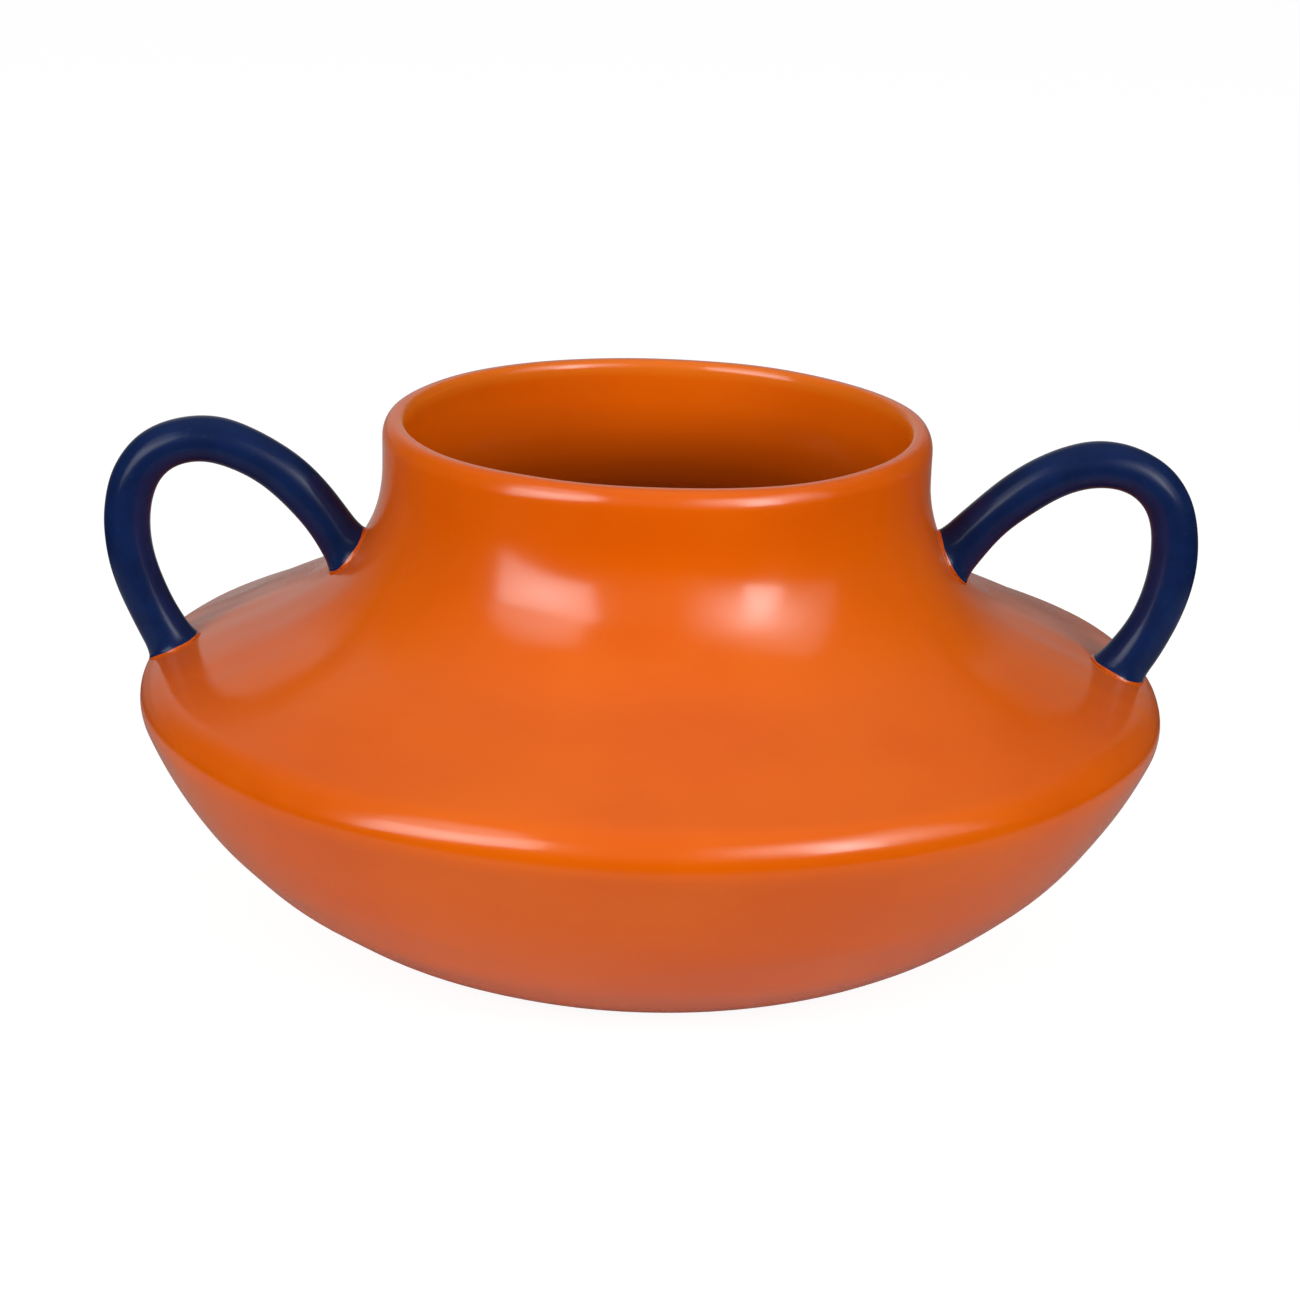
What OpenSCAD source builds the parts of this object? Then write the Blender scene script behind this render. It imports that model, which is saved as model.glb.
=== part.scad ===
// Squat two-handled clay vase, standing on z = 0 with +Z up and the handles along X.
// The potter makes the vessel in two halves, lutes them at the belly, backs that seam
// with a coil of clay inside, and sets two bent coils on the shoulder as loop handles.

/* [Vessel] */
// Height from the table to the top of the lip
height = 134; // [120:0.5:150]
// Height of the upper half, from the belly seam to the top of the lip
upper_h = 72.5; // [66:0.5:80]
// Diameter at the belly, the vessel's widest line
belly_d = 260; // [245:1:285]
// Radius of the rounded edge along the belly
belly_edge_r = 9.5; // [8:0.5:12]
// Radius of the bowl's side below the belly
bowl_r = 105; // [96:1:120]
// Slope of the straight shoulder, in degrees
shoulder_slope = 24.5; // [21:0.5:27]
// Radius of the sweep from the shoulder up into the neck
throat_r = 39.5; // [34:0.5:44]
// Outer diameter of the neck
neck_d = 138.5; // [130:0.5:146]
// Thickness of the clay wall
wall = 5.6; // [5:0.1:7]

/* [Lip] */
// Rounding of the lip's outer edge
lip_outer_r = 3; // [2:0.1:3.4]
// Rounding of the lip's inner edge
lip_inner_r = 1.9; // [1.2:0.1:2.2]

/* [Foot] */
// Outer diameter of the foot ring
foot_d = 124; // [114:1:132]
// Width of the ring that stands on the table
foot_w = 9; // [6:0.5:14]
// Depth of the hollow turned out under the floor
foot_hollow = 4; // [2:0.5:6]
// Rounding where the foot ring meets that hollow
foot_hollow_r = 1.5; // [0.5:0.25:2]
// Thickness of the floor over the hollow
floor_t = 7; // [5:0.5:9]
// Radius inside the vessel between floor and side
floor_round = 25; // [15:1:35]

/* [Belly seam] */
// Radius of the half-round coil that backs the seam inside
seam_coil_r = 4; // [2.5:0.25:5]

/* [Handles] */
// Diameter of the coil that the handles are bent from
handle_d = 11.7; // [9:0.1:14]
// Diameter to which the coil swells where it meets the shoulder
root_d = 14; // [12:0.1:17]
// Length over which the coil swells to its root
root_swell_l = 14; // [8:1:22]
// Distance of the inner root's centre out from the neck
inner_root_out = 6.75; // [5:0.25:10]
// Distance of the outer root's centre in from the belly line
outer_root_in = 9.25; // [8:0.25:14]
// Angle above the table at which the inner leg rises
inner_lean = 57; // [50:1:64]
// Angle above the table at which the outer leg rises
outer_lean = 55; // [50:1:64]
// How far the inner leg pulls the bend along its own line
inner_pull = 61; // [54:1:68]
// How far the outer leg pulls the bend along its own line
outer_pull = 61; // [54:1:68]

/* [Root collars] */
// Height of the luting clay up the handle's side
collar_h = 2.4; // [1.6:0.1:4]
// Spread of the luting clay over the shoulder
collar_spread = 2.6; // [1.6:0.1:5]
// Thickness left at the collar's two edges
collar_edge = 0.5; // [0.3:0.1:1]

/* [Hidden] */

orange_glaze = "#dc691c";
navy_glaze = "#1b2a55";

// Degrees of arc that one step of an outline spans, and steps round the vessel
arc_step = 3;
$fn = 180;
// Points round a handle's section, steps along its bend, and steps that a root collar reaches
section_points = 28;
path_steps = 44;
root_sections = 6;
// Points round a collar, and steps up its hollow side
collar_points = 40;
collar_steps = 5;
// Depth to which roots and collars run into the vessel before they are coped to it
cope_depth = 8;
// Outline points closer than this are one point
same_point = 0.001;

belly_r = belly_d / 2;
belly_z = height - upper_h;
neck_r = neck_d / 2;
foot_r = foot_d / 2;
root_r = root_d / 2;
floor_z = foot_hollow + floor_t;

// Direction of a vector, in degrees, and the vector at unit length
function direction(v) = atan2(v.y, v.x);
function unit(v) = v / norm(v);

// Centre of the belly's rounded edge
belly_c = [belly_r - belly_edge_r, belly_z];

// Centre of the bowl's side, which starts at the foot's edge and runs smoothly into the belly's
foot_edge = [foot_r, 0];
foot_to_belly = norm(belly_c - foot_edge);
belly_way = unit(belly_c - foot_edge);
bowl_c_along = (bowl_r ^ 2 - (bowl_r - belly_edge_r) ^ 2 + foot_to_belly ^ 2) / (2 * foot_to_belly);
bowl_c_aside = sqrt(bowl_r ^ 2 - bowl_c_along ^ 2);
bowl_c = foot_edge + bowl_c_along * belly_way + bowl_c_aside * [-belly_way.y, belly_way.x];
bowl_foot_angle = direction(foot_edge - bowl_c);
bowl_belly_angle = direction(belly_c - bowl_c);

// The straight shoulder, from the belly's edge to the throat, and the throat's centre
shoulder_out = [sin(shoulder_slope), cos(shoulder_slope)];
shoulder_in = [-cos(shoulder_slope), sin(shoulder_slope)];
shoulder_low = belly_c + belly_edge_r * shoulder_out;
shoulder_l = (shoulder_low.x - neck_r - throat_r * (1 - shoulder_out.x)) / shoulder_out.y;
shoulder_high = shoulder_low + shoulder_l * shoulder_in;
throat_c = shoulder_high + throat_r * shoulder_out;

// Centre of the rounding between the floor and the bowl's inner side
floor_round_z = floor_z + floor_round;
floor_round_gap = bowl_r - wall - floor_round;
floor_round_out = sqrt(floor_round_gap ^ 2 - (bowl_c.y - floor_round_z) ^ 2);
floor_round_c = [bowl_c.x + floor_round_out, floor_round_z];
floor_round_angle = direction(floor_round_c - bowl_c);

// Points of an arc about c, from one angle to another
function arc(c, r, from, to) =
  let (n = max(2, ceil(abs(to - from) / arc_step)), step = (to - from) / n)
  [for (i = [0 : n]) c + r * [cos(from + i * step), sin(from + i * step)]];

// Stretches of an outline joined end to end, with each shared end kept once
function outline(stretches) =
  let (all = [for (s = stretches) each s])
  [for (i = [0 : len(all) - 1]) if (i == 0 || norm(all[i] - all[max(i - 1, 0)]) > same_point) all[i]];

function reversed(list) = [for (i = [len(list) - 1 : -1 : 0]) list[i]];

// The skin below the seam, from foot or floor up to the belly, and the skin above it, from
// the belly up to the neck, each at a depth inside the outer face
function bowl_skin(depth, from) = outline([
  arc(bowl_c, bowl_r - depth, from, bowl_belly_angle),
  arc(belly_c, belly_edge_r - depth, bowl_belly_angle, 0)
]);
function shoulder_skin(depth) = outline([
  arc(belly_c, belly_edge_r - depth, 0, 90 - shoulder_slope),
  arc(throat_c, throat_r + depth, 270 - shoulder_slope, 180)
]);

bowl_outside = bowl_skin(0, bowl_foot_angle);
bowl_inside = bowl_skin(wall, floor_round_angle);
shoulder_outside = shoulder_skin(0);
shoulder_inside = shoulder_skin(wall);
floor_inside = concat(arc(floor_round_c, floor_round, floor_round_angle, -90), [[0, floor_z]]);
lip_outside = arc([neck_r - lip_outer_r, height - lip_outer_r], lip_outer_r, 0, 90);
lip_inside = arc([neck_r - wall + lip_inner_r, height - lip_inner_r], lip_inner_r, 90, 180);

// Height of the outer skin above the table, at a radius on the upper half
function skin_z(r) =
  r < shoulder_high.x ? throat_c.y - sqrt(throat_r ^ 2 - (throat_c.x - r) ^ 2)
  : r < shoulder_low.x ? shoulder_low.y + (shoulder_low.x - r) * tan(shoulder_slope)
  : belly_z + sqrt(belly_edge_r ^ 2 - (r - belly_c.x) ^ 2);

// Distance of a point from the outer skin of the upper half, square to it and positive in the air
function clear_of_skin(p) =
  let (q = [norm([p.x, p.y]), p.z], along = (q - shoulder_low) * shoulder_in)
  q.y > throat_c.y ? q.x - neck_r
  : along > shoulder_l ? throat_r - norm(q - throat_c)
  : along > 0 ? (q - shoulder_low) * shoulder_out
  : norm(q - belly_c) - belly_edge_r;

// Slides a point along dir until it is h clear of the skin
function slid_clear(p, dir, h, tries = 10) =
  tries == 0 ? p : slid_clear(p + (h - clear_of_skin(p)) * dir, dir, h, tries - 1);

// Where the right handle's legs stand on the shoulder, and which way they rise
inner_root_x = neck_r + inner_root_out;
outer_root_x = belly_r - outer_root_in;
inner_root = [inner_root_x, 0, skin_z(inner_root_x)];
outer_root = [outer_root_x, 0, skin_z(outer_root_x)];
inner_dir = [cos(inner_lean), 0, sin(inner_lean)];
outer_dir = [cos(outer_lean), 0, sin(outer_lean)];

// The handle's middle line: one curve from root to root that leaves each along its leg
inner_hold = inner_root + inner_pull * inner_dir;
outer_hold = outer_root + outer_pull * outer_dir;
function bend(t) =
  (1 - t) ^ 3 * inner_root + 3 * (1 - t) ^ 2 * t * inner_hold
  + 3 * (1 - t) * t ^ 2 * outer_hold + t ^ 3 * outer_root;
middle_line = concat(
  [inner_root - cope_depth * inner_dir],
  [for (i = [0 : path_steps]) bend(i / path_steps)],
  [outer_root - cope_depth * outer_dir]
);
last_section = len(middle_line) - 1;

// Radius of the coil at a point of its middle line, swelling towards the nearer root
function coil_r(p) =
  let (from_root = min(norm(p - inner_root), norm(p - outer_root)))
  (handle_d + (root_d - handle_d) * max(0, 1 - from_root / root_swell_l) ^ 2) / 2;

// Ring of n points about p, square to a direction in the XZ plane
function ring(p, dir, r, n) = [
  for (i = [0 : n - 1])
    p + r * (cos(360 * i / n) * [dir.z, 0, -dir.x] + sin(360 * i / n) * [0, 1, 0])
];

function middle_of(points) = [for (p = points) 1] * points / len(points);

// Closed skin over a row of rings, each with the same number of points
module skin(rings) {
  n = len(rings[0]);
  last = len(rings) - 1;
  points = concat([for (r = rings) each r], [middle_of(rings[0]), middle_of(rings[last])]);
  start_mid = len(points) - 2;
  end_mid = len(points) - 1;
  caps = [
    for (i = [0 : n - 1])
      let (next = (i + 1) % n)
      each [[i, next, start_mid], [last * n + next, last * n + i, end_mid]]
  ];
  sides = [
    for (j = [0 : last - 1], i = [0 : n - 1])
      let (low = j * n + i, low_next = j * n + (i + 1) % n)
      each [[low, low_next + n, low_next], [low, low + n, low_next + n]]
  ];
  polyhedron(points, concat(caps, sides));
}

// The whole vessel as one filled form, which roots and collars are coped to
module vessel_form() {
  rotate_extrude()
    polygon(outline([[[0, 0]], bowl_outside, shoulder_outside, lip_outside, [[0, height]]]));
}

// A stretch of the right handle's coil, from one section to another, before its ends are coped
module coil(from, to) {
  skin([
    for (i = [from : to])
      let (way = unit(middle_line[min(i + 1, last_section)] - middle_line[max(i - 1, 0)]))
      ring(middle_line[i], way, coil_r(middle_line[i]), section_points)
  ]);
}

module handle() {
  difference() {
    coil(0, last_section);
    vessel_form();
  }
}

// Hollow-sided fillet of luting clay round one root on the right, thin at both its edges.
// Its child is the stretch of coil that it is fitted round.
module root_collar(root, dir) {
  top_r = root_r + collar_edge;
  function row(r, h) = [for (p = ring(root, dir, r, collar_points)) slid_clear(p, dir, h)];
  under = row(top_r + collar_spread, -cope_depth / 2);
  side = [
    for (i = [0 : collar_steps])
      let (turn = 90 * i / collar_steps)
      row(top_r + collar_spread * (1 - sin(turn)), collar_edge + (collar_h - collar_edge) * (1 - cos(turn)))
  ];
  difference() {
    skin(concat([under], side));
    vessel_form();
    children();
  }
}

module inner_root_collar() {
  root_collar(inner_root, inner_dir) coil(0, root_sections);
}

module outer_root_collar() {
  root_collar(outer_root, outer_dir) coil(last_section - root_sections, last_section);
}

module on_left() {
  rotate([0, 0, 180]) children();
}

module lower_bowl() {
  ring_in = foot_r - foot_w;
  hollow_c = [ring_in - foot_hollow_r, foot_hollow - foot_hollow_r];
  hollow = concat([[0, foot_hollow]], arc(hollow_c, foot_hollow_r, 90, 0), [[ring_in, 0]]);
  color(orange_glaze)
    rotate_extrude()
      polygon(outline([bowl_outside, reversed(bowl_inside), floor_inside, hollow]));
}

module upper_body() {
  color(orange_glaze)
    rotate_extrude()
      polygon(outline([shoulder_outside, lip_outside, lip_inside, reversed(shoulder_inside)]));
}

module belly_seam_coil() {
  cavity = outline([[[0, 0]], bowl_inside, shoulder_inside, [[0, height]]]);
  color(orange_glaze)
    rotate_extrude()
      intersection() {
        translate([belly_r - wall, belly_z]) circle(r = seam_coil_r);
        polygon(cavity);
      }
}

module left_handle() {
  color(navy_glaze) on_left() handle();
}

module right_handle() {
  color(navy_glaze) handle();
}

module left_inner_root_collar() {
  color(orange_glaze) on_left() inner_root_collar();
}

module left_outer_root_collar() {
  color(orange_glaze) on_left() outer_root_collar();
}

module right_inner_root_collar() {
  color(orange_glaze) inner_root_collar();
}

module right_outer_root_collar() {
  color(orange_glaze) outer_root_collar();
}

lower_bowl();
upper_body();
belly_seam_coil();
left_handle();
right_handle();
left_inner_root_collar();
left_outer_root_collar();
right_inner_root_collar();
right_outer_root_collar();
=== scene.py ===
import math

import bpy
import numpy as np
from mathutils import Matrix, Vector


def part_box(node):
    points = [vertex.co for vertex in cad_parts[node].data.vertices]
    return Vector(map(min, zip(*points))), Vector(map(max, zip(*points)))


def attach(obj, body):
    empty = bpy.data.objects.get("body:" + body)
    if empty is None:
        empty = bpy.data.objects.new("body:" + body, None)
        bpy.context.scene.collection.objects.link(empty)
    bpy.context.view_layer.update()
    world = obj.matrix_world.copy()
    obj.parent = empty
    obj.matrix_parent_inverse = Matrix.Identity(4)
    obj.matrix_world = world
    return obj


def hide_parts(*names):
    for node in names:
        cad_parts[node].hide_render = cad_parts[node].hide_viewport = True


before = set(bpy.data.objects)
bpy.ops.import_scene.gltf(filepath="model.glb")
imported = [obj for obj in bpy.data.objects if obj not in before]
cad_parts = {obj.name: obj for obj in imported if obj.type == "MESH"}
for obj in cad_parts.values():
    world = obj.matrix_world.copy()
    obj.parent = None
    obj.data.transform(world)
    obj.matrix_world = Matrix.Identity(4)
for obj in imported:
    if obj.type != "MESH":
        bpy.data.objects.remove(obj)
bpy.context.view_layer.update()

# Lower bowl: the bottom half of the vessel, thrown on the wheel in red clay. Its foot ring is
# turned out of the base once the clay is leather-hard. It is dipped in orange glaze with the
# rest of the vessel, and the ring that stands on the table is wiped bare before firing.

MM = 0.001

bowl_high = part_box("lower_bowl")[1]
BELLY_R = bowl_high.x
BELLY_Z = bowl_high.z
BELLY_EDGE_R = 9.5 * MM
BOWL_R = 105 * MM
WALL = 5.6 * MM
FOOT_R = 62 * MM
FOOT_W = 9 * MM
FOOT_EDGE_R = 0.8 * MM
FOOT_HOLLOW = 4 * MM
FOOT_HOLLOW_R = 1.5 * MM
FLOOR_Z = 11 * MM
FLOOR_ROUND = 25 * MM
POINT_GAP = 1.8 * MM
SAME_POINT = 0.001 * MM
ARC_TURN = 7
SEAM_TURN = 0.1
STEPS_ROUND = 450


def arc(centre, radius, start, end, gap=POINT_GAP):
    """Points of an arc about centre, from one angle to another, in degrees."""
    turn = abs(end - start)
    count = max(2, math.ceil(radius * math.radians(turn) / gap), math.ceil(turn / ARC_TURN))
    angles = np.radians(np.linspace(start, end, count + 1))
    return np.stack([centre[0] + radius * np.cos(angles), centre[1] + radius * np.sin(angles)], 1)


def straight(start, end, gap=POINT_GAP):
    """Points of a straight stretch between two points."""
    count = max(1, math.ceil(math.dist(start, end) / gap))
    return np.linspace(start, end, count + 1)


def stretch(points, inside=0.0, thin=0.0, bare=0.0):
    """A stretch of outline whose points say where the inside, with wheel marks and painted shade, thin
    glaze and bare clay are.
    """
    return np.column_stack([points, np.tile([inside, thin, bare], (len(points), 1))])


def step_lengths(rows):
    """Lengths of the steps from each point of an outline to the next."""
    return np.linalg.norm(np.diff(rows[:, :2], axis=0), axis=1)


def outline(*stretches):
    """Stretches joined end to end, with each shared end kept once."""
    rows = np.concatenate(stretches)
    apart = step_lengths(rows) > SAME_POINT
    return rows[np.concatenate([[True], apart])]


def direction(vector):
    """Angle of a vector in the outline's plane, in degrees from straight outwards."""
    return math.degrees(math.atan2(vector[1], vector[0]))


# Centres of the belly's rounded edge, of the bowl's side and of the rounding above the floor
belly_c = np.array([BELLY_R - BELLY_EDGE_R, BELLY_Z])
foot_edge = np.array([FOOT_R, 0.0])
foot_to_belly = math.dist(belly_c, foot_edge)
belly_way = (belly_c - foot_edge) / foot_to_belly
bowl_along = (BOWL_R**2 - (BOWL_R - BELLY_EDGE_R) ** 2 + foot_to_belly**2) / (2 * foot_to_belly)
bowl_aside = math.sqrt(BOWL_R**2 - bowl_along**2)
bowl_c = foot_edge + bowl_along * belly_way + bowl_aside * np.array([-belly_way[1], belly_way[0]])
bowl_foot_angle = direction(foot_edge - bowl_c)
bowl_belly_angle = direction(belly_c - bowl_c)
floor_round_z = FLOOR_Z + FLOOR_ROUND
floor_round_out = math.sqrt((BOWL_R - WALL - FLOOR_ROUND) ** 2 - (bowl_c[1] - floor_round_z) ** 2)
floor_round_c = np.array([bowl_c[0] + floor_round_out, floor_round_z])
floor_round_angle = direction(floor_round_c - bowl_c)

ring_in = FOOT_R - FOOT_W
bowl_outside = outline(
    stretch(arc(bowl_c, BOWL_R, bowl_foot_angle, bowl_belly_angle)),
    stretch(arc(belly_c, BELLY_EDGE_R, bowl_belly_angle, -SEAM_TURN)),
    stretch(arc(belly_c, BELLY_EDGE_R, -SEAM_TURN, 0)),
)
lower_bowl_outline = outline(
    stretch(straight((0, FOOT_HOLLOW), (ring_in - FOOT_HOLLOW_R, FOOT_HOLLOW))),
    stretch(arc((ring_in - FOOT_HOLLOW_R, FOOT_HOLLOW - FOOT_HOLLOW_R), FOOT_HOLLOW_R, 90, 0)),
    stretch(arc((ring_in + FOOT_EDGE_R, FOOT_EDGE_R), FOOT_EDGE_R, 180, 270), thin=1),
    stretch(straight((ring_in + FOOT_EDGE_R, 0), (FOOT_R - FOOT_EDGE_R, 0)), bare=1),
    bowl_outside,
    stretch(straight((BELLY_R, BELLY_Z), (BELLY_R - WALL, BELLY_Z))),
    stretch(arc(belly_c, BELLY_EDGE_R - WALL, 0, bowl_belly_angle)),
    stretch(arc(bowl_c, BOWL_R - WALL, bowl_belly_angle, floor_round_angle), inside=1),
    stretch(arc(floor_round_c, FLOOR_ROUND, floor_round_angle, -90), inside=1),
    stretch(straight((floor_round_c[0], FLOOR_Z), (0, FLOOR_Z)), inside=1),
)


class Sheet:
    """Writes a node tree: each call adds a node, and an input may be a value, a socket or a node."""

    def __init__(self, tree):
        self.tree = tree

    def __call__(self, kind, inputs=(), **settings):
        node = self.tree.nodes.new(kind)
        for name, value in settings.items():
            setattr(node, name, value)
        for key, value in dict(inputs).items():
            if isinstance(value, bpy.types.Node):
                value = next(socket for socket in value.outputs if socket.enabled)
            if isinstance(value, bpy.types.NodeSocket):
                self.tree.links.new(value, node.inputs[key])
            else:
                node.inputs[key].default_value = value
        return node

    def math(self, operation, *values):
        return self("ShaderNodeMath", enumerate(values), operation=operation)

    def vector(self, operation, *values):
        return self("ShaderNodeVectorMath", enumerate(values), operation=operation)

    def scaled(self, vector, scale):
        return self("ShaderNodeVectorMath", {0: vector, "Scale": scale}, operation="SCALE")

    def parts(self, vector):
        return self("ShaderNodeSeparateXYZ", {0: vector}).outputs

    def count(self, operation, *values):
        return self("FunctionNodeIntegerMath", enumerate(values), operation=operation)

    def ramp(self, value, low, high, bottom=0.0, top=1.0):
        """A smooth climb from bottom to top while value goes from low to high."""
        inputs = {0: value, 1: low, 2: high, 3: bottom, 4: top}
        return self("ShaderNodeMapRange", inputs, interpolation_type="SMOOTHSTEP")

    def noise(self, place, scale, detail=0.0, roughness=0.5):
        inputs = {"Vector": place, "Scale": scale, "Detail": detail, "Roughness": roughness}
        return self("ShaderNodeTexNoise", inputs)

    def blend(self, share, first, second):
        """A colour between two, by share."""
        node = self("ShaderNodeMix", {0: share, 6: first, 7: second}, data_type="RGBA")
        return node.outputs[2]

    def between(self, share, first, second):
        """A number between two, by share."""
        return self("ShaderNodeMix", {0: share, 2: first, 3: second}, data_type="FLOAT")

    def stored(self, name):
        """A number that is stored with each point, in a geometry tree."""
        return self("GeometryNodeInputNamedAttribute", {"Name": name}, data_type="FLOAT")

    def painted(self, name):
        """A number that is stored with each point, in a material."""
        return self("ShaderNodeAttribute", attribute_name=name).outputs["Fac"]


def geometry_tree(name, inputs):
    """A new geometry tree with those named inputs: (sheet, its inputs, the node that it ends in)."""
    tree = bpy.data.node_groups.new(name, "GeometryNodeTree")
    tree.interface.new_socket("Geometry", in_out="INPUT", socket_type="NodeSocketGeometry")
    for label, kind in inputs.items():
        tree.interface.new_socket(label, in_out="INPUT", socket_type="NodeSocket" + kind)
    tree.interface.new_socket("Geometry", in_out="OUTPUT", socket_type="NodeSocketGeometry")
    sheet = Sheet(tree)
    return sheet, sheet("NodeGroupInput").outputs, sheet("NodeGroupOutput")


SLOW_WAVE = 75 * MM
RING_WAVE = 17 * MM
RINGS_AROUND = 1.6
RING_SHARE = 0.8
RING_INNERMOST = 4 * MM
RING_FULL = 40 * MM
RIDGE_LONG = 60 * MM
RIDGE_WIDE = 13 * MM
RIDGE_SHARE = 0.5
RIDGE_START = (50 * MM, 75 * MM)
RIDGE_SIDES = (20 * MM, 55 * MM)
RIDGE_TOP = (95 * MM, 110 * MM)
STILL_HEIGHT = 14 * MM
NOISE_MIDDLE = 0.5


def wavered(sheet, geometry, amount):
    """Moves points a little out of true: slowly, in rings, and in ridges pressed in by the handles.

    The foot stays flat.
    """
    place = sheet("GeometryNodeInputPosition")
    part = sheet.parts(place)
    flat = sheet.vector("MULTIPLY", place, (1, 1, 0))
    radius = sheet.vector("LENGTH", flat).outputs["Value"]
    outward = sheet.vector("NORMALIZE", flat)
    around = sheet.parts(sheet.scaled(outward, RINGS_AROUND))
    ring_place = {0: around["X"], 1: around["Y"], 2: sheet.math("DIVIDE", radius, RING_WAVE)}
    rings = sheet(
        "ShaderNodeTexNoise",
        {
            "Vector": sheet("ShaderNodeCombineXYZ", ring_place),
            "W": sheet.math("DIVIDE", part["Z"], RING_WAVE),
            "Scale": 1,
            "Detail": 0,
        },
        noise_dimensions="4D",
    )
    middle = (NOISE_MIDDLE, NOISE_MIDDLE, NOISE_MIDDLE)
    slow = sheet.vector("SUBTRACT", sheet.noise(place, 1 / SLOW_WAVE).outputs["Color"], middle)
    ring = sheet.parts(sheet.vector("SUBTRACT", rings.outputs["Color"], middle))
    ring_share = sheet.ramp(radius, RING_INNERMOST, RING_FULL, 0, RING_SHARE)
    ring_out = sheet.scaled(outward, sheet.math("MULTIPLY", ring["X"], ring_share))
    ring_up = sheet("ShaderNodeCombineXYZ", {2: sheet.math("MULTIPLY", ring["Y"], ring_share)})
    ridges = sheet.noise(sheet.vector("DIVIDE", place, (RIDGE_LONG, RIDGE_WIDE, RIDGE_LONG)), 1)
    past_neck = sheet.ramp(sheet.math("ABSOLUTE", part["X"]), *RIDGE_START)
    at_side = sheet.ramp(sheet.math("ABSOLUTE", part["Y"]), *RIDGE_SIDES, 1, 0)
    under_lip = sheet.ramp(part["Z"], *RIDGE_TOP, RIDGE_SHARE, 0)
    near = sheet.math("MULTIPLY", sheet.math("MULTIPLY", past_neck, at_side), under_lip)
    ridge = sheet.math("MULTIPLY", sheet.math("SUBTRACT", ridges, NOISE_MIDDLE), near)
    ridge_up = sheet("ShaderNodeCombineXYZ", {2: ridge})
    ring_shift = sheet.vector("ADD", ring_out, ring_up)
    shift = sheet.vector("ADD", sheet.vector("ADD", slow, ridge_up), ring_shift)
    lift = sheet("ShaderNodeCombineXYZ", {0: 1, 1: 1, 2: sheet.ramp(part["Z"], 0, STILL_HEIGHT)})
    offset = sheet.scaled(sheet.vector("MULTIPLY", shift, lift), amount)
    return sheet("GeometryNodeSetPosition", {0: geometry, "Offset": offset})


SHARP_TURN = math.radians(40)


def finished_skin(sheet, end, geometry, material):
    """Shades the skin smooth except at its sharp edges, and ends the tree."""
    turn = sheet("GeometryNodeInputMeshEdgeAngle").outputs["Unsigned Angle"]
    sharp = sheet("FunctionNodeCompare", {0: turn, 1: SHARP_TURN}, operation="GREATER_THAN")
    smooth = sheet("GeometryNodeSetShadeSmooth", {0: geometry, "Shade Smooth": True})
    creased = sheet(
        "GeometryNodeSetShadeSmooth",
        {0: smooth, "Selection": sharp, "Shade Smooth": False},
        domain="EDGE",
    )
    realized = sheet("GeometryNodeRealizeInstances", {0: creased})
    painted = sheet("GeometryNodeSetMaterial", {0: realized, "Material": material})
    sheet.tree.links.new(painted.outputs[0], end.inputs[0])


MARK_PITCH = 7.5 * MM
MARK_INNERMOST = 4 * MM
MARK_FULL = 18 * MM
WELD_GAP = 0.002 * MM
OUTLINE_SIGNS = ("inside", "thin", "bare")

# The wheel: turns an outline about the vessel's axis, with a spiral of throwing marks inside
sheet, given, end = geometry_tree(
    "Wheel", {"Steps": "Int", "Waver": "Float", "Mark depth": "Float", "Glaze": "Material"}
)
points = sheet("GeometryNodeAttributeDomainSize", {0: given["Geometry"]}).outputs["Point Count"]
grid = sheet(
    "GeometryNodeMeshGrid",
    {"Vertices X": sheet.count("ADD", given["Steps"], 1), "Vertices Y": points},
)
index = sheet("GeometryNodeInputIndex")
on_outline = sheet.count("MODULO", index, points)
step = sheet.count("DIVIDE_FLOOR", index, points)


def from_outline(value, kind):
    """A value of the outline's point that each point of the turned skin comes from."""
    inputs = {"Geometry": given["Geometry"], "Value": value, "Index": on_outline}
    return sheet("GeometryNodeSampleIndex", inputs, data_type=kind)


angle = sheet.math("MULTIPLY", sheet.math("DIVIDE", step, given["Steps"]), math.tau)
flat_place = from_outline(sheet("GeometryNodeInputPosition"), "FLOAT_VECTOR")
place = sheet("ShaderNodeVectorRotate", {"Vector": flat_place, "Angle": angle}, rotation_type="Z_AXIS")
along = from_outline(sheet.stored("along"), "FLOAT")
wound = sheet.math("MULTIPLY", along, math.tau / MARK_PITCH)
spiral = sheet.math("SINE", sheet.math("ADD", wound, angle))
signs = [from_outline(sheet.stored(name), "FLOAT") for name in OUTLINE_SIGNS]
off_axis = sheet.parts(flat_place)["X"]
depth = sheet.math("MULTIPLY", given["Mark depth"], sheet.ramp(off_axis, MARK_INNERMOST, MARK_FULL))
mark = sheet.math("MULTIPLY", sheet.math("MULTIPLY", spiral, signs[0]), depth)
skin = grid
for name, value in [("mark", mark), *zip(OUTLINE_SIGNS, signs)]:
    skin = sheet("GeometryNodeStoreNamedAttribute", {0: skin, "Name": name, "Value": value})
skin = sheet("GeometryNodeSetPosition", {0: skin, "Position": place})
skin = sheet("GeometryNodeMergeByDistance", {0: skin, "Distance": WELD_GAP})
raised = sheet.scaled(sheet("GeometryNodeInputNormal"), sheet.stored("mark"))
skin = sheet("GeometryNodeSetPosition", {0: skin, "Offset": raised})
skin = wavered(sheet, skin, given["Waver"])
finished_skin(sheet, end, skin, given["Glaze"])
WHEEL = sheet.tree


def placed(name, data):
    """A new object in the scene, at its origin."""
    thing = bpy.data.objects.new(name, data)
    bpy.context.scene.collection.objects.link(thing)
    return thing


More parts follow.
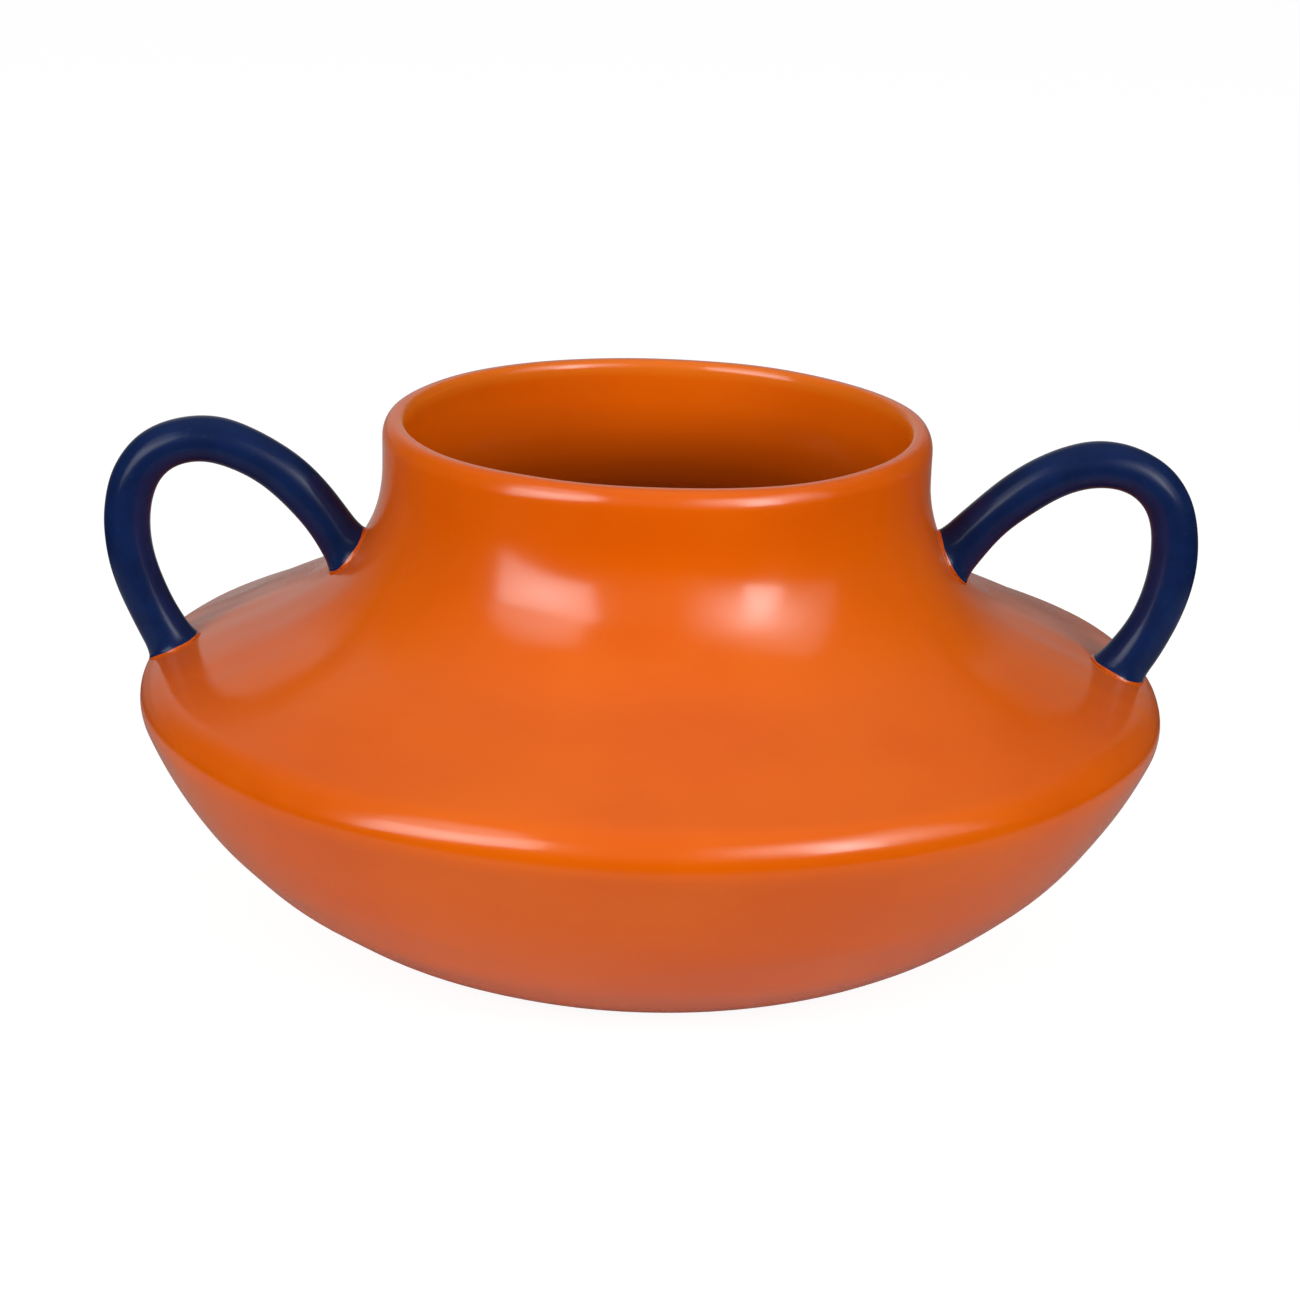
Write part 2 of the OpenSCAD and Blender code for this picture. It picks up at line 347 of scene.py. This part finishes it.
def shaped(name, mesh, tree, values):
    """A mesh run through a tree with those inputs, as an object with the result as its plain mesh."""
    piece = placed(name, mesh)
    modifier = piece.modifiers.new(tree.name, "NODES")
    modifier.node_group = tree
    for item in tree.interface.items_tree:
        if item.in_out == "INPUT" and item.name in values:
            modifier[item.identifier] = values[item.name]
    evaluated = piece.evaluated_get(bpy.context.evaluated_depsgraph_get())
    piece.data = bpy.data.meshes.new_from_object(evaluated)
    piece.data.name = name
    piece.modifiers.clear()
    return piece


def stored_with_points(mesh, name, column):
    """Stores a column of numbers with a mesh's points."""
    layer = mesh.attributes.new(name, "FLOAT", "POINT")
    layer.data.foreach_set("value", column.astype(np.float32))


def turned(name, rows, values):
    """A piece turned on the wheel from an outline."""
    mesh = bpy.data.meshes.new(name)
    links = [(i, i + 1) for i in range(len(rows) - 1)]
    mesh.from_pydata([(r, 0, z) for r, z in rows[:, :2]], links, [])
    along = np.concatenate([[0], np.cumsum(step_lengths(rows))])
    for label, column in zip(("along", *OUTLINE_SIGNS), (along, *rows[:, 2:].T)):
        stored_with_points(mesh, label, column)
    return shaped(name, mesh, WHEEL, values)


def blank_sheet(owner):
    """The emptied node sheet of a material or a world."""
    owner.use_nodes = True
    owner.node_tree.nodes.clear()
    return Sheet(owner.node_tree)


def glaze(name):
    """A new material: (it, its sheet, its shader, the place on the object)."""
    material = bpy.data.materials.new(name)
    sheet = blank_sheet(material)
    shader = sheet("ShaderNodeBsdfPrincipled")
    sheet("ShaderNodeOutputMaterial", {"Surface": shader})
    return material, sheet, shader, sheet("ShaderNodeTexCoord").outputs["Object"]


ORANGE = (0.83, 0.134, 0.001, 1)
ORANGE_THICK = (0.77, 0.113, 0.001, 1)
ORANGE_THIN = (0.84, 0.24, 0.02, 1)
# Painted shade: a darker orange for the deep inside, and one for the corners under the handle legs
ORANGE_SHADED_INSIDE = (0.5, 0.072, 0.001, 1)
ORANGE_CORNER_SHADE = (0.6, 0.09, 0.001, 1)
RED_CLAY = (0.42, 0.17, 0.085, 1)
PALE_SPECK = (0.86, 0.42, 0.22, 1)
DARK_SPECK = (0.30, 0.06, 0.012, 1)
CLOUD = 60 * MM
CLOUD_EDGES = (0.35, 0.7)
FLOW = 16 * MM
FLOW_EDGES = (0.3, 0.75)
FLOW_SHARE = 0.35
INSIDE_SHADE_DEPTHS = (98 * MM, 132 * MM)
THIN_SHARE = 0.55
SPECK_R = 0.05
SPECK_EDGE_R = 0.08
SPECK_SHARE = 0.008
PINHOLE_CELL = 7 * MM
PINHOLE_DARK = 0.4
PINHOLE_DEPTH = 2
NICK_CELL = 11.9 * MM
NICK_SHIFT = (1, 2, 3)
NICK_PALE = 0.5
GRAIN = 1 * MM
PEEL = 3.5 * MM
PEEL_DEPTH = 0.05 * MM
ORANGE_PEEL = 0.25
ORANGE_SATIN = (0.15, 0.19)
CLAY_ROUGH = 0.85
NOISE_SPAN = (0.3, 0.7)


def specks(sheet, place, cell):
    """Small round specks, one at most in a cell of that size, in a small share of the cells."""
    cells = sheet("ShaderNodeTexVoronoi", {"Vector": place, "Scale": 1 / cell})
    spot = sheet.ramp(cells.outputs["Distance"], SPECK_R, SPECK_EDGE_R, 1, 0)
    pick = sheet("ShaderNodeSeparateColor", {0: cells.outputs["Color"]}).outputs[0]
    return sheet.math("MULTIPLY", spot, sheet.math("LESS_THAN", pick, SPECK_SHARE))


ORANGE_GLAZE, sheet, shader, place = glaze("orange satin glaze")
clouds = sheet.ramp(sheet.noise(place, 1 / CLOUD, 2), *CLOUD_EDGES)
flows = sheet.ramp(sheet.noise(place, 1 / FLOW, 3, 0.6), *FLOW_EDGES, 0, FLOW_SHARE)
colour = sheet.blend(clouds, ORANGE, ORANGE_THICK)
colour = sheet.blend(flows, colour, ORANGE)
# Painted shade: the inside is painted darker from near the lip down to the deep part, where less light
# reaches
inside_shade = sheet.ramp(sheet.parts(place)["Z"], *INSIDE_SHADE_DEPTHS, 1, 0)
colour = sheet.blend(sheet.math("MULTIPLY", sheet.painted("inside"), inside_shade), colour, ORANGE_SHADED_INSIDE)
# Painted shade: the root collars are painted a darker orange for the shade in the corner under each
# leg
colour = sheet.blend(sheet.painted("pooled"), colour, ORANGE_CORNER_SHADE)
colour = sheet.blend(sheet.math("MULTIPLY", sheet.painted("thin"), THIN_SHARE), colour, ORANGE_THIN)
pinholes = specks(sheet, place, PINHOLE_CELL)
nicks = specks(sheet, sheet.vector("ADD", place, NICK_SHIFT), NICK_CELL)
colour = sheet.blend(sheet.math("MULTIPLY", pinholes, PINHOLE_DARK), colour, DARK_SPECK)
colour = sheet.blend(sheet.math("MULTIPLY", nicks, NICK_PALE), colour, PALE_SPECK)
bare = sheet.painted("bare")
grain = sheet.noise(place, 1 / GRAIN, 2)
colour = sheet.blend(bare, colour, sheet.blend(grain, RED_CLAY, ORANGE_THIN))
sheet.tree.links.new(colour, shader.inputs["Base Color"])
satin = sheet.ramp(sheet.noise(place, 1 / FLOW, 2), *NOISE_SPAN, *ORANGE_SATIN)
rough = sheet.math("MAXIMUM", satin, sheet.math("MULTIPLY", bare, CLAY_ROUGH))
sheet.tree.links.new(rough.outputs[0], shader.inputs["Roughness"])
peel = sheet.noise(place, 1 / PEEL, 2)
relief = sheet.math("SUBTRACT", peel, sheet.math("MULTIPLY", pinholes, PINHOLE_DEPTH))
relief = sheet.math("ADD", relief, sheet.math("MULTIPLY", bare, grain))
bump = sheet("ShaderNodeBump", {"Strength": ORANGE_PEEL, "Distance": PEEL_DEPTH, "Height": relief})
sheet.tree.links.new(bump.outputs[0], shader.inputs["Normal"])

HAND_WAVER = 1.2 * MM
MARK_DEPTH = 0.05 * MM
on_wheel = {"Steps": STEPS_ROUND, "Waver": HAND_WAVER, "Mark depth": MARK_DEPTH, "Glaze": ORANGE_GLAZE}

lower_bowl = turned("thrown_lower_bowl", lower_bowl_outline, on_wheel)
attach(lower_bowl, "root")
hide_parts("lower_bowl")

# Upper body: shoulder, neck and lip, thrown in one as a second open bowl and set upside down on
# the first. The rims are scored, luted with slip and smoothed over, so no seam shows outside.
# The lip is cut level and its edges are softened with a wet leather, where the glaze breaks thin.

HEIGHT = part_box("upper_body")[1].z
SHOULDER_SLOPE = 24.5
THROAT_R = 39.5 * MM
NECK_R = 69.25 * MM
LIP_OUTER_R = 3 * MM
LIP_OUTER_H = 5 * MM
LIP_INNER_R = 1.5 * MM
LIP_INNER_H = 2.6 * MM
LIP_THIN = 0.6
FINE_GAP = 1.0 * MM


def softened(centre, across, up, start, end):
    """Points of an edge that a wet leather has rounded more along the wall than across it."""
    return arc((0, 0), up, start, end) * (across / up, 1) + centre


slope = math.radians(SHOULDER_SLOPE)
shoulder_out = np.array([math.sin(slope), math.cos(slope)])
shoulder_in = np.array([-math.cos(slope), math.sin(slope)])
shoulder_low = belly_c + BELLY_EDGE_R * shoulder_out
shoulder_run = shoulder_low[0] - NECK_R - THROAT_R * (1 - shoulder_out[0])
shoulder_l = shoulder_run / shoulder_out[1]
shoulder_high = shoulder_low + shoulder_l * shoulder_in
throat_c = shoulder_high + THROAT_R * shoulder_out
neck_in = NECK_R - WALL
lip_outer_c = (NECK_R - LIP_OUTER_R, HEIGHT - LIP_OUTER_H)
lip_inner_c = (neck_in + LIP_INNER_R, HEIGHT - LIP_INNER_H)
shoulder_low_inside = shoulder_low - WALL * shoulder_out
shoulder_high_inside = shoulder_high - WALL * shoulder_out

upper_outside = outline(
    stretch(arc(belly_c, BELLY_EDGE_R, 0, SEAM_TURN)),
    stretch(arc(belly_c, BELLY_EDGE_R, SEAM_TURN, 90 - SHOULDER_SLOPE)),
    stretch(straight(shoulder_low, shoulder_high, FINE_GAP)),
    stretch(arc(throat_c, THROAT_R, 270 - SHOULDER_SLOPE, 180, FINE_GAP)),
    stretch(straight((NECK_R, throat_c[1]), (NECK_R, lip_outer_c[1]))),
    stretch(softened(lip_outer_c, LIP_OUTER_R, LIP_OUTER_H, 0, 90)),
)
upper_body_outline = outline(
    upper_outside,
    stretch(straight((lip_outer_c[0], HEIGHT), (lip_inner_c[0], HEIGHT))),
    stretch(softened(lip_inner_c, LIP_INNER_R, LIP_INNER_H, 90, 180), thin=LIP_THIN),
    stretch(straight((neck_in, lip_inner_c[1]), (neck_in, throat_c[1])), inside=1),
    stretch(arc(throat_c, THROAT_R + WALL, 180, 270 - SHOULDER_SLOPE), inside=1),
    stretch(straight(shoulder_high_inside, shoulder_low_inside), inside=1),
    stretch(arc(belly_c, BELLY_EDGE_R - WALL, 90 - SHOULDER_SLOPE, 0)),
    stretch(straight((BELLY_R - WALL, BELLY_Z), (BELLY_R, BELLY_Z))),
)

upper_body = turned("thrown_upper_body", upper_body_outline, on_wheel)
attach(upper_body, "root")
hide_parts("upper_body")

# Belly seam coil: a thin roll of soft clay pressed into the seam from inside, where the two
# halves meet, so that they don't part in drying. It is smeared half-round and glazed over.

COIL_R = 4 * MM
COIL_SINK = 0.6 * MM

coil_c = (BELLY_R - WALL + COIL_SINK, BELLY_Z)
seam_coil = turned("pressed_seam_coil", outline(stretch(arc(coil_c, COIL_R, 0, 360))), on_wheel)
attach(seam_coil, "root")
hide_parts("belly_seam_coil")

# Handles: two coils of clay, rolled round, bent into a loop and set on the shoulder by hand, so
# they differ a little. They are brushed with navy glaze down to their roots, which the potter
# thickens with a thumb. Each end is coped to the curve of the shoulder.

HANDLE_R = 5.85 * MM
ROOT_R = 6.35 * MM
ROOT_SWELL_L = 14 * MM
FILLET_H = 4.5 * MM
FILLET_SPREAD = 1.2 * MM
COPE_TIME = 0.04

# Where each leg stands, from the axis, and how far its end pulls the bend, in millimetres, and
# its lean above level, in degrees
HANDLES = {
    "left": {"side": -1, "inner_r": 77.2, "outer_r": 122.0, "inner_lean": 58.4, "outer_lean": 56.9,
             "inner_pull": 61.9, "outer_pull": 61.5},
    "right": {"side": 1, "inner_r": 74.8, "outer_r": 119.0, "inner_lean": 52.4, "outer_lean": 51.6,
              "inner_pull": 67.5, "outer_pull": 53.5},
}


def skin_z(r):
    """Height of the outer skin above the table, at a radius on the upper half."""
    if r < shoulder_high[0]:
        return throat_c[1] - math.sqrt(THROAT_R**2 - (throat_c[0] - r) ** 2)
    if r < shoulder_low[0]:
        return shoulder_low[1] + (shoulder_low[0] - r) * math.tan(slope)
    return BELLY_Z + math.sqrt(BELLY_EDGE_R**2 - (r - belly_c[0]) ** 2)


def leg(side, r, lean):
    """Where a leg stands on the shoulder, and the way it rises."""
    lean = math.radians(lean)
    return Vector((side * r, 0, skin_z(r))), Vector((side * math.cos(lean), 0, math.sin(lean)))


def stretched_bend(corners, early, late):
    """The corners of the same bend, run on past its two ends."""

    def corner(*times):
        row = list(corners)
        for time in times:
            row = [a + (b - a) * time for a, b in zip(row, row[1:])]
        return row[0]

    return [corner(*[early] * (3 - i), *[late] * i) for i in range(4)]


PATH_STEPS = 480
SECTION_POINTS = 56
ROLL_WAVE = 18 * MM
ROLL_UNEVEN = 0.35 * MM

COIL_INPUTS = {
    "Start": "Vector", "Start pull": "Vector", "End pull": "Vector", "End": "Vector",
    "Coil radius": "Float", "Root radius": "Float", "Swell length": "Float", "Cope length": "Float",
    "Fillet height": "Float", "Fillet spread": "Float",
    "Vessel": "Object", "Waver": "Float", "Glaze": "Material",
}


def bent_coil(sheet, given, vessel, proud=0.0):
    """A coil rolled along a bend, thicker at its roots, with a hollow fillet down to the vessel."""
    bend = sheet(
        "GeometryNodeCurvePrimitiveBezierSegment",
        {
            "Resolution": PATH_STEPS, "Start": given["Start"], "Start Handle": given["Start pull"],
            "End Handle": given["End pull"], "End": given["End"],
        },
    )
    path = sheet("GeometryNodeResampleCurve", {"Curve": bend, "Count": PATH_STEPS})
    from_start = sheet("GeometryNodeSplineParameter").outputs["Length"]
    length = sheet("GeometryNodeSplineLength").outputs["Length"]
    from_end = sheet.math("MINIMUM", from_start, sheet.math("SUBTRACT", length, from_start))
    from_skin = sheet.math("MAXIMUM", sheet.math("SUBTRACT", from_end, given["Cope length"]), 0)
    nearness = sheet.math("SUBTRACT", 1, sheet.math("DIVIDE", from_skin, given["Swell length"]))
    swell_share = sheet.math("POWER", sheet.math("MAXIMUM", nearness, 0), 2)
    swell = sheet.math("SUBTRACT", given["Root radius"], given["Coil radius"])
    swell = sheet.math("MULTIPLY", swell, swell_share)
    uneven = sheet.noise(sheet("GeometryNodeInputPosition"), 1 / ROLL_WAVE)
    roll = sheet.math("MULTIPLY", sheet.math("SUBTRACT", uneven, NOISE_MIDDLE), ROLL_UNEVEN)
    roll = sheet.math("MULTIPLY", roll, sheet.math("SUBTRACT", 1, swell_share))
    radius = sheet.math("ADD", sheet.math("ADD", given["Coil radius"], swell), roll)
    section = sheet("GeometryNodeCurvePrimitiveCircle", {"Resolution": SECTION_POINTS, "Radius": 1})
    coil = sheet(
        "GeometryNodeCurveToMesh",
        {"Curve": path, "Profile Curve": section, "Scale": radius, "Fill Caps": True},
    )
    clear = sheet("GeometryNodeProximity", {0: vessel}, target_element="FACES").outputs["Distance"]
    sunk = sheet.math("SUBTRACT", 1, sheet.math("DIVIDE", clear, given["Fillet height"]))
    sunk = sheet.math("MAXIMUM", sunk, 0)
    hollow = sheet.math("SQRT", sheet.math("SUBTRACT", 1, sheet.math("MULTIPLY", sunk, sunk)))
    fillet = sheet.math("MULTIPLY", sheet.math("SUBTRACT", 1, hollow), given["Fillet spread"])
    flare = sheet.scaled(sheet("GeometryNodeInputNormal"), sheet.math("ADD", fillet, proud))
    return sheet("GeometryNodeSetPosition", {0: coil, "Offset": flare}).outputs["Geometry"]


def combined(sheet, operation, first, *others):
    """What is left of a solid that others are cut from, or what solids have in common."""
    node = sheet("GeometryNodeMeshBoolean", operation=operation, solver="MANIFOLD")
    first_input = "Mesh 1" if operation == "DIFFERENCE" else "Mesh 2"
    sheet.tree.links.new(first, node.inputs[first_input])
    for other in others:
        sheet.tree.links.new(other, node.inputs["Mesh 2"])
    return node.outputs["Mesh"]


sheet, given, end = geometry_tree("Bent coil", COIL_INPUTS)
vessel = sheet("GeometryNodeObjectInfo", {"Object": given["Vessel"]}).outputs["Geometry"]
coil = bent_coil(sheet, given, vessel)
coped = combined(sheet, "DIFFERENCE", coil, vessel)
finished_skin(sheet, end, wavered(sheet, coped, given["Waver"]), given["Glaze"])
BENT_COIL = sheet.tree

NAVY = (0.006, 0.019, 0.084, 1)
NAVY_THICK = (0.005, 0.014, 0.064, 1)
NAVY_THIN = (0.011, 0.031, 0.112, 1)
NAVY_SHEEN = 0.15
NAVY_SATIN = (0.17, 0.22)
NAVY_PEEL = 0.3
BRUSH = 9 * MM
STREAK_EDGES = (0.55, 0.8)
STREAK_SHARE = 0.4

NAVY_GLAZE, sheet, shader, place = glaze("navy satin glaze")
shader.inputs["Specular IOR Level"].default_value = NAVY_SHEEN
brushed = sheet.ramp(sheet.noise(place, 1 / BRUSH, 3, 0.6), *NOISE_SPAN)
streaks = sheet.ramp(sheet.noise(place, 4 / BRUSH, 2), *STREAK_EDGES, 0, STREAK_SHARE)
colour = sheet.blend(streaks, sheet.blend(brushed, NAVY, NAVY_THICK), NAVY_THIN)
sheet.tree.links.new(colour, shader.inputs["Base Color"])
satin = sheet.ramp(sheet.noise(place, 2 / BRUSH, 2), *NOISE_SPAN, *NAVY_SATIN)
sheet.tree.links.new(satin.outputs[0], shader.inputs["Roughness"])
peel = sheet.noise(place, 1 / PEEL, 3)
bump = sheet("ShaderNodeBump", {"Strength": NAVY_PEEL, "Distance": PEEL_DEPTH, "Height": peel})
sheet.tree.links.new(bump.outputs[0], shader.inputs["Normal"])

# The vessel's outside as one true solid, which the handles and collars are fitted to
vessel_outline = outline(
    stretch(np.array([(0, 0)])), bowl_outside, upper_outside, stretch(np.array([(0, HEIGHT)]))
)
true_on_wheel = {**on_wheel, "Waver": 0.0, "Mark depth": 0.0}
vessel_form = turned("vessel_form", vessel_outline, true_on_wheel)

bends = {}
roots = {}
for name, hand in HANDLES.items():
    inner_root, inner_rise = leg(hand["side"], hand["inner_r"] * MM, hand["inner_lean"])
    outer_root, outer_rise = leg(hand["side"], hand["outer_r"] * MM, hand["outer_lean"])
    roots[name, "inner"] = inner_root
    roots[name, "outer"] = outer_root
    corners = [
        inner_root,
        inner_root + hand["inner_pull"] * MM * inner_rise,
        outer_root + hand["outer_pull"] * MM * outer_rise,
        outer_root,
    ]
    start, start_pull, end_pull, far = stretched_bend(corners, -COPE_TIME, 1 + COPE_TIME)
    bends[name] = {
        "Start": start, "Start pull": start_pull, "End pull": end_pull, "End": far,
        "Coil radius": HANDLE_R, "Root radius": ROOT_R, "Swell length": ROOT_SWELL_L,
        "Cope length": (inner_root - start).length,
        "Fillet height": FILLET_H, "Fillet spread": FILLET_SPREAD,
        "Vessel": vessel_form, "Waver": HAND_WAVER, "Glaze": NAVY_GLAZE,
    }
    handle = shaped(name + "_bent_handle", bpy.data.meshes.new(name), BENT_COIL, bends[name])
    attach(handle, "root")
    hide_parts(name + "_handle")

# Root collars: slip and soft clay worked into the corner where each handle leg meets the shoulder.
# The navy is brushed down over this hollow fillet and stops just short of the shoulder, so that
# its foot shows as a narrow orange line round each leg, painted darker as shade in the corner.

COLLAR_H = 0.55 * MM
COLLAR_PROUD = 0.06 * MM
COLLAR_BITE = 0.8 * MM
COLLAR_WAVE = 6 * MM
COLLAR_UNEVEN = 0.3
COLLAR_REACH = 20 * MM

sheet, given, end = geometry_tree("Luting", {**COIL_INPUTS, "Root": "Vector", "Height": "Float"})
vessel = sheet("GeometryNodeObjectInfo", {"Object": given["Vessel"]}).outputs["Geometry"]
fillet = bent_coil(sheet, given, vessel, COLLAR_PROUD)
core = bent_coil(sheet, given, vessel, -COLLAR_BITE)
edge = sheet.noise(sheet("GeometryNodeInputPosition"), 1 / COLLAR_WAVE)
edge = sheet.ramp(edge, *NOISE_SPAN, 1 - COLLAR_UNEVEN, 1 + COLLAR_UNEVEN)
rise = sheet.scaled(sheet("GeometryNodeInputNormal"), sheet.math("MULTIPLY", edge, given["Height"]))
grown = sheet("GeometryNodeSetPosition", {0: vessel, "Offset": rise}).outputs["Geometry"]
layer = combined(sheet, "INTERSECT", fillet, grown)
rings = combined(sheet, "DIFFERENCE", layer, vessel, core)
away = sheet.vector("DISTANCE", sheet("GeometryNodeInputPosition"), given["Root"]).outputs["Value"]
other_leg = sheet("FunctionNodeCompare", {0: away, 1: COLLAR_REACH}, operation="GREATER_THAN")
ring = sheet("GeometryNodeDeleteGeometry", {0: rings, "Selection": other_leg})
# Painted shade: marks the collar to be painted darker, for the shade in the corner
ring = sheet("GeometryNodeStoreNamedAttribute", {0: ring, "Name": "pooled", "Value": 1.0})
finished_skin(sheet, end, wavered(sheet, ring, given["Waver"]), given["Glaze"])
LUTING = sheet.tree

for (hand, end_name), root in roots.items():
    node = hand + "_" + end_name + "_root_collar"
    values = {**bends[hand], "Root": root, "Height": COLLAR_H, "Glaze": ORANGE_GLAZE}
    collar = shaped("luted_" + node, bpy.data.meshes.new(node), LUTING, values)
    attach(collar, "root")
    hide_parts(node)
bpy.data.objects.remove(vessel_form)

# Studio: a pale table in a white surround, with soft panels to the left and right of the camera,
# which looks slightly down on the vase through a long lens. To the camera the surround is white.
# The vase is lit by a dimmer room, which it mirrors: a white sheet behind, a ceiling, dark sides.

CAMERA_DISTANCE = 1158 * MM
CAMERA_RISE = math.radians(17.35)
CAMERA_ROLL = math.radians(1.79)
CAMERA_TARGET = Vector((-0.4 * MM, 0, 73.7 * MM))
LENS = 125.7

camera = placed("camera", bpy.data.cameras.new("camera"))
bpy.context.scene.camera = camera
camera.data.lens = LENS
back = Vector((0, -math.cos(CAMERA_RISE), math.sin(CAMERA_RISE)))
camera.location = CAMERA_TARGET + CAMERA_DISTANCE * back
level = (-back).to_track_quat("-Z", "Y").to_matrix()
camera.rotation_euler = (level @ Matrix.Rotation(CAMERA_ROLL, 3, "Z")).to_euler()
bpy.context.scene.view_settings.view_transform = "Standard"

# The floor: a table round the vase, and the sheet that runs on over the floor behind it
FLOOR_HALF = 6.0
FLOOR_SHADE = 0.2
FLOOR_LIFT = 0.92
TABLE_PALE = 0.78
TABLE_SHEEN = 0.5
TABLE_SHAPE = (0.7, 1, 0)
TABLE_EDGES = (0.2, 0.26)
SHEET_PALE = 0.78
SHEET_START = (0.1, 0.35)
SHEET_ASIDE = 0.13
SHEET_EDGES = (0.05, 0.8)
SHEET_DIM = 0.1

floor_mesh = bpy.data.meshes.new("floor")
corners = [(-1, -1), (1, -1), (1, 1), (-1, 1)]
floor_mesh.from_pydata([(FLOOR_HALF * x, FLOOR_HALF * y, 0) for x, y in corners], [], [(0, 1, 2, 3)])
floor = placed("floor", floor_mesh)
paint = bpy.data.materials.new("pale floor")
sheet = blank_sheet(paint)
ray = sheet("ShaderNodeLightPath").outputs
spot = sheet("ShaderNodeTexCoord").outputs["Object"]
from_middle = sheet.vector("LENGTH", sheet.vector("MULTIPLY", spot, TABLE_SHAPE)).outputs["Value"]
tone = sheet.between(ray["Is Glossy Ray"], TABLE_PALE, TABLE_SHEEN)
table = sheet.math("MULTIPLY", sheet.ramp(from_middle, *TABLE_EDGES, 1, 0), tone)
way = sheet.parts(sheet.vector("NORMALIZE", spot))
far_back = sheet.ramp(sheet.parts(spot)["Y"], *SHEET_START, 0, SHEET_PALE)
aside = sheet.math("ABSOLUTE", sheet.math("ADD", way["X"], SHEET_ASIDE))
sheet_end = sheet.ramp(aside, *SHEET_EDGES, 1, SHEET_DIM)
room = sheet.math("MAXIMUM", table, sheet.math("MULTIPLY", far_back, sheet_end))
shade = sheet.between(ray["Is Camera Ray"], room, FLOOR_SHADE)
pale = sheet("ShaderNodeCombineColor", {0: shade, 1: shade, 2: shade})
matt = sheet("ShaderNodeBsdfDiffuse", {"Color": pale})
white = sheet.math("MULTIPLY", ray["Is Camera Ray"], FLOOR_LIFT)
lift = sheet("ShaderNodeEmission", {"Strength": white})
sheet("ShaderNodeOutputMaterial", {"Surface": sheet("ShaderNodeAddShader", {0: matt, 1: lift})})
floor_mesh.materials.append(paint)

# Each panel's distance, its glow in the middle, and its corners seen from the vase: degrees to
# the right of the camera, degrees above the table, and the glow there
PANELS = {
    "left key": (1.7, 7.5, [(-62, -2, 3.4), (-23, 14, 5), (-23, 36, 5), (-62, 26, 5)]),
    "left upper": (1.8, 2.6, [(-65, 27, 2.2), (-26, 34, 3.6), (-36, 54, 1.2), (-68, 55, 0.4)]),
    "right key": (1.7, 11, [(35, 10, 8), (52, 10, 7), (52, 37, 4.5), (35, 37, 5)]),
    "right wash": (1.8, 5, [(8, 6, 0.2), (76, 8, 0.9), (77, 50, 1.4), (8, 47, 0.2)]),
}
PANEL_STEPS = 12

# A panel's points: how near each is to the four corners, and to the middle, where that share is 1
strip = np.linspace(0, 1, PANEL_STEPS + 1)
u, v = (side.ravel() for side in np.meshgrid(strip, strip))
nearness = np.stack([(1 - u) * (1 - v), u * (1 - v), u * v, (1 - u) * v], 1)
hotness = (4 * u * (1 - u) * 4 * v * (1 - v)) ** 2
row = PANEL_STEPS + 1
tiles = [
    (i * row + j, i * row + j + 1, (i + 1) * row + j + 1, (i + 1) * row + j)
    for i in range(PANEL_STEPS)
    for j in range(PANEL_STEPS)
]
for name, (distance, middle, corners) in PANELS.items():
    right, up, glow = (nearness @ np.array(corners)).T
    glow += (middle - glow.mean()) * hotness
    right, up = np.radians(right), np.radians(up)
    ways = np.stack([np.cos(up) * np.sin(right), -np.cos(up) * np.cos(right), np.sin(up)], 1)
    mesh = bpy.data.meshes.new(name)
    mesh.from_pydata(distance * ways + np.array(CAMERA_TARGET), [], tiles)
    stored_with_points(mesh, "glow", glow)
    panel = placed(name, mesh)
    panel.visible_camera = False
    lamp = bpy.data.materials.new(name)
    sheet = blank_sheet(lamp)
    light = sheet("ShaderNodeEmission", {"Strength": sheet.painted("glow")})
    sheet("ShaderNodeOutputMaterial", {"Surface": light})
    mesh.materials.append(lamp)

# The room by direction: the sheet's upright part, the ceiling, and a dim glow behind the camera
UPRIGHT_TURN = (0, 0.3)
UPRIGHT_HEIGHT = (0.4, 0.85)
UPRIGHT_GLOW = (0.66, 0.36)
CEILING_HEIGHT = (0.4, 1.1)
CEILING_GLOW = (0.06, 0.52)
FRONT_TURN = (-0.85, -0.5)
FRONT_HEIGHT = (-0.1, 0.45)
FRONT_GLOW = 0.4

world = bpy.data.worlds.new("studio")
bpy.context.scene.world = world
sheet = blank_sheet(world)
ray = sheet("ShaderNodeLightPath").outputs
way = sheet.parts(sheet("ShaderNodeTexCoord").outputs["Generated"])
aside = sheet.math("ABSOLUTE", sheet.math("ADD", way["X"], SHEET_ASIDE))
upright = sheet.ramp(aside, *SHEET_EDGES, 1, 0)
upright = sheet.math("MULTIPLY", upright, sheet.ramp(way["Y"], *UPRIGHT_TURN))
upright = sheet.math("MULTIPLY", upright, sheet.ramp(way["Z"], *UPRIGHT_HEIGHT, *UPRIGHT_GLOW))
ceiling = sheet.ramp(way["Z"], *CEILING_HEIGHT, *CEILING_GLOW)
front = sheet.ramp(way["Y"], *FRONT_TURN, FRONT_GLOW, 0)
front = sheet.math("MULTIPLY", front, sheet.ramp(way["Z"], *FRONT_HEIGHT))
room = sheet.math("MAXIMUM", ceiling, sheet.math("MAXIMUM", upright, front))
shown = sheet.between(ray["Is Camera Ray"], room, 1)
sheet("ShaderNodeOutputWorld", {"Surface": sheet("ShaderNodeBackground", {"Strength": shown})})
